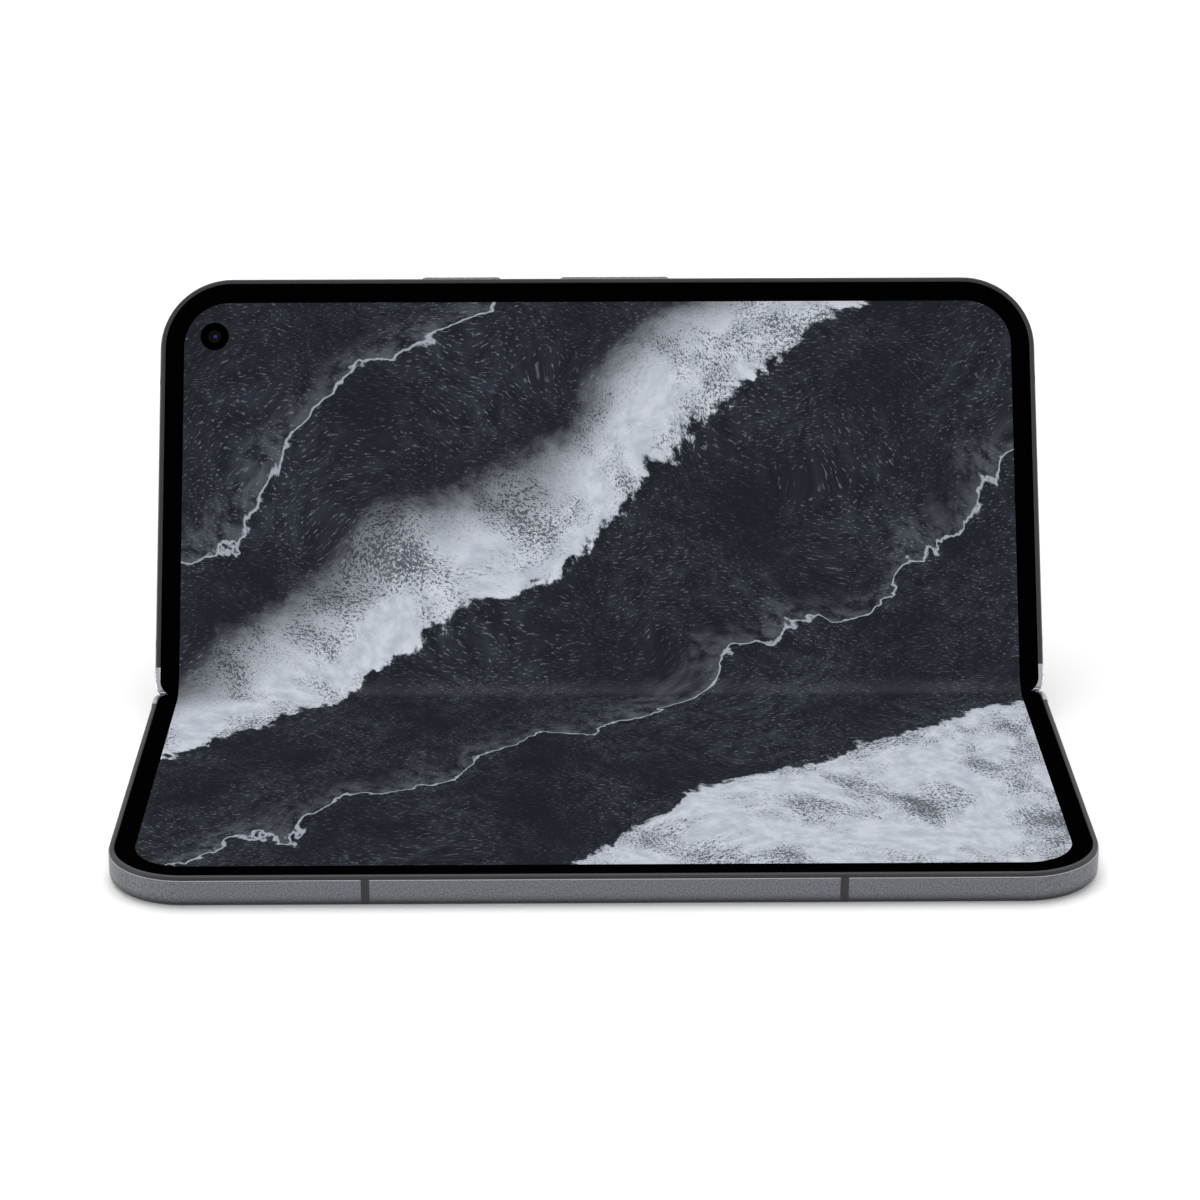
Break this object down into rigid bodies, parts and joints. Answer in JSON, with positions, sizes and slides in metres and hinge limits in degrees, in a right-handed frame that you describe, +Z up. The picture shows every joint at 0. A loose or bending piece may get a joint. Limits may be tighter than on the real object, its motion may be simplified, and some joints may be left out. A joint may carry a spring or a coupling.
{
  "type": "foldable smartphone",
  "caption": "Foldable phone standing half open: flat lower half, leaning upper half, geared twin-axis hinge, one folding screen, side keys and a card tray.",
  "frame": {"origin": "centre of the flat face that the lower half rests on", "axes": "+X along the hinge, +Y from the lower half's front edge to the hinge, +Z up, out of the lower half's screen"},
  "size_m": [0.1552, 0.1155, 0.0693],
  "materials": {
    "blasted_metal": "fine blasted, dark grey, satin",
    "soft_rim": "matt",
    "insert_plastic": "matt",
    "black_film": "smooth black",
    "screen": "smooth, lit with a mineral pattern",
    "steel": "satin",
    "cover_glass": "gloss, black behind",
    "back_glass": "fine matt etched",
    "camera_black": "smooth black",
    "speaker_black": "matt",
    "battery_wrap": "satin foil",
    "board": "solder mask",
    "gear_brass": "satin",
    "ring_metal": "polished",
    "lens_glass": "clear gloss over black",
    "flash_lens": "frosted",
    "coil_copper": "wound wire",
    "flex_film": "satin film"
  },
  "bodies": {
    "lower_half": {"lower_frame": "blasted_metal", "lower_rim": "soft_rim", "lower_antenna_bands": "insert_plastic", "lower_corner_guards": "black_film", "lower_bezel": "black_film", "lower_display": "screen", "lower_display_plate": "steel", "cover_glass": "cover_glass", "cover_panel": "camera_black", "cover_camera": "camera_black", "lower_battery": "battery_wrap", "lower_board": "board", "earpiece": "speaker_black", "vibration_motor": "steel", "card_reader": "steel", "lower_leaf_arms": "steel", "lower_hinge_pins": "steel", "lower_leaf_screws": "steel"},
    "spine": {"spine_cover": "blasted_metal", "hinge_blocks": "steel", "hinge_block_screws": "steel", "friction_clips": "steel", "fold_support_strip": "steel", "fold_display": "screen", "fold_bezel_strips": "black_film", "hinge_flex": "flex_film"},
    "lower_idlers": {"lower_idler_gears": "gear_brass"},
    "upper_idlers": {"upper_idler_gears": "gear_brass"},
    "upper_half": {"upper_frame": "blasted_metal", "upper_rim": "soft_rim", "upper_antenna_bands": "insert_plastic", "upper_corner_guards": "black_film", "upper_bezel": "black_film", "upper_display": "screen", "upper_display_plate": "steel", "selfie_camera": "camera_black", "back_cover": "back_glass", "camera_island": "blasted_metal", "camera_rings": "ring_metal", "camera_lenses": "lens_glass", "camera_modules": "camera_black", "flash_lens": "flash_lens", "upper_battery": "battery_wrap", "main_board": "board", "shield_cans": "steel", "charging_coil": "coil_copper", "charging_socket": "steel", "loudspeaker": "speaker_black", "key_switches": "flex_film", "volume_pivot_pin": "steel", "upper_leaf_arms": "steel", "upper_hinge_pins": "steel", "upper_leaf_screws": "steel"},
    "power": {"power_key": "blasted_metal"},
    "volume": {"volume_rocker": "blasted_metal"},
    "tray": {"card_tray": "blasted_metal"}
  },
  "joints": [
    {"name": "lower_fold", "type": "hinge", "parent": "lower_half", "child": "spine", "pos_m": [0, 0.0356, 0.00325], "axis": [1, 0, 0], "range_deg": [-30, 60], "deforming": ["fold_display", "fold_bezel_strips", "hinge_flex"]},
    {"name": "upper_fold", "type": "hinge", "parent": "spine", "child": "upper_half", "pos_m": [0, 0.03906, 0.00525], "axis": [1, 0, 0], "range_deg": [-30, 60], "deforming": ["fold_display", "fold_bezel_strips", "hinge_flex"]},
    {"name": "lower_idler_turn", "type": "hinge", "parent": "spine", "child": "lower_idlers", "pos_m": [0, 0.03675, 0.00392], "axis": [1, 0, 0], "range_deg": [-30, 60]},
    {"name": "upper_idler_turn", "type": "hinge", "parent": "spine", "child": "upper_idlers", "pos_m": [0, 0.03791, 0.00458], "axis": [1, 0, 0], "range_deg": [-60, 30]},
    {"name": "power_press", "type": "slide", "parent": "upper_half", "child": "power", "axis": [0, -0.5, -0.866], "range_m": [0, 0.00025], "stiffness_N_per_m": 1500, "springref_m": -0.0002},
    {"name": "volume_rock", "type": "hinge", "parent": "upper_half", "child": "volume", "pos_m": [0.00305, 0.07502, 0.06613], "axis": [0, -0.866, 0.5], "range_deg": [-1, 1], "stiffness_Nm_per_rad": 0.4},
    {"name": "tray_slide", "type": "slide", "parent": "lower_half", "child": "tray", "axis": [1, 0, 0], "range_m": [0, 0.015]}
  ],
  "couplings": [
    {"joint": "upper_fold", "follows": "lower_fold", "ratio": 1},
    {"joint": "lower_idler_turn", "follows": "lower_fold", "ratio": 1},
    {"joint": "upper_idler_turn", "follows": "lower_fold", "ratio": -1}
  ]
}
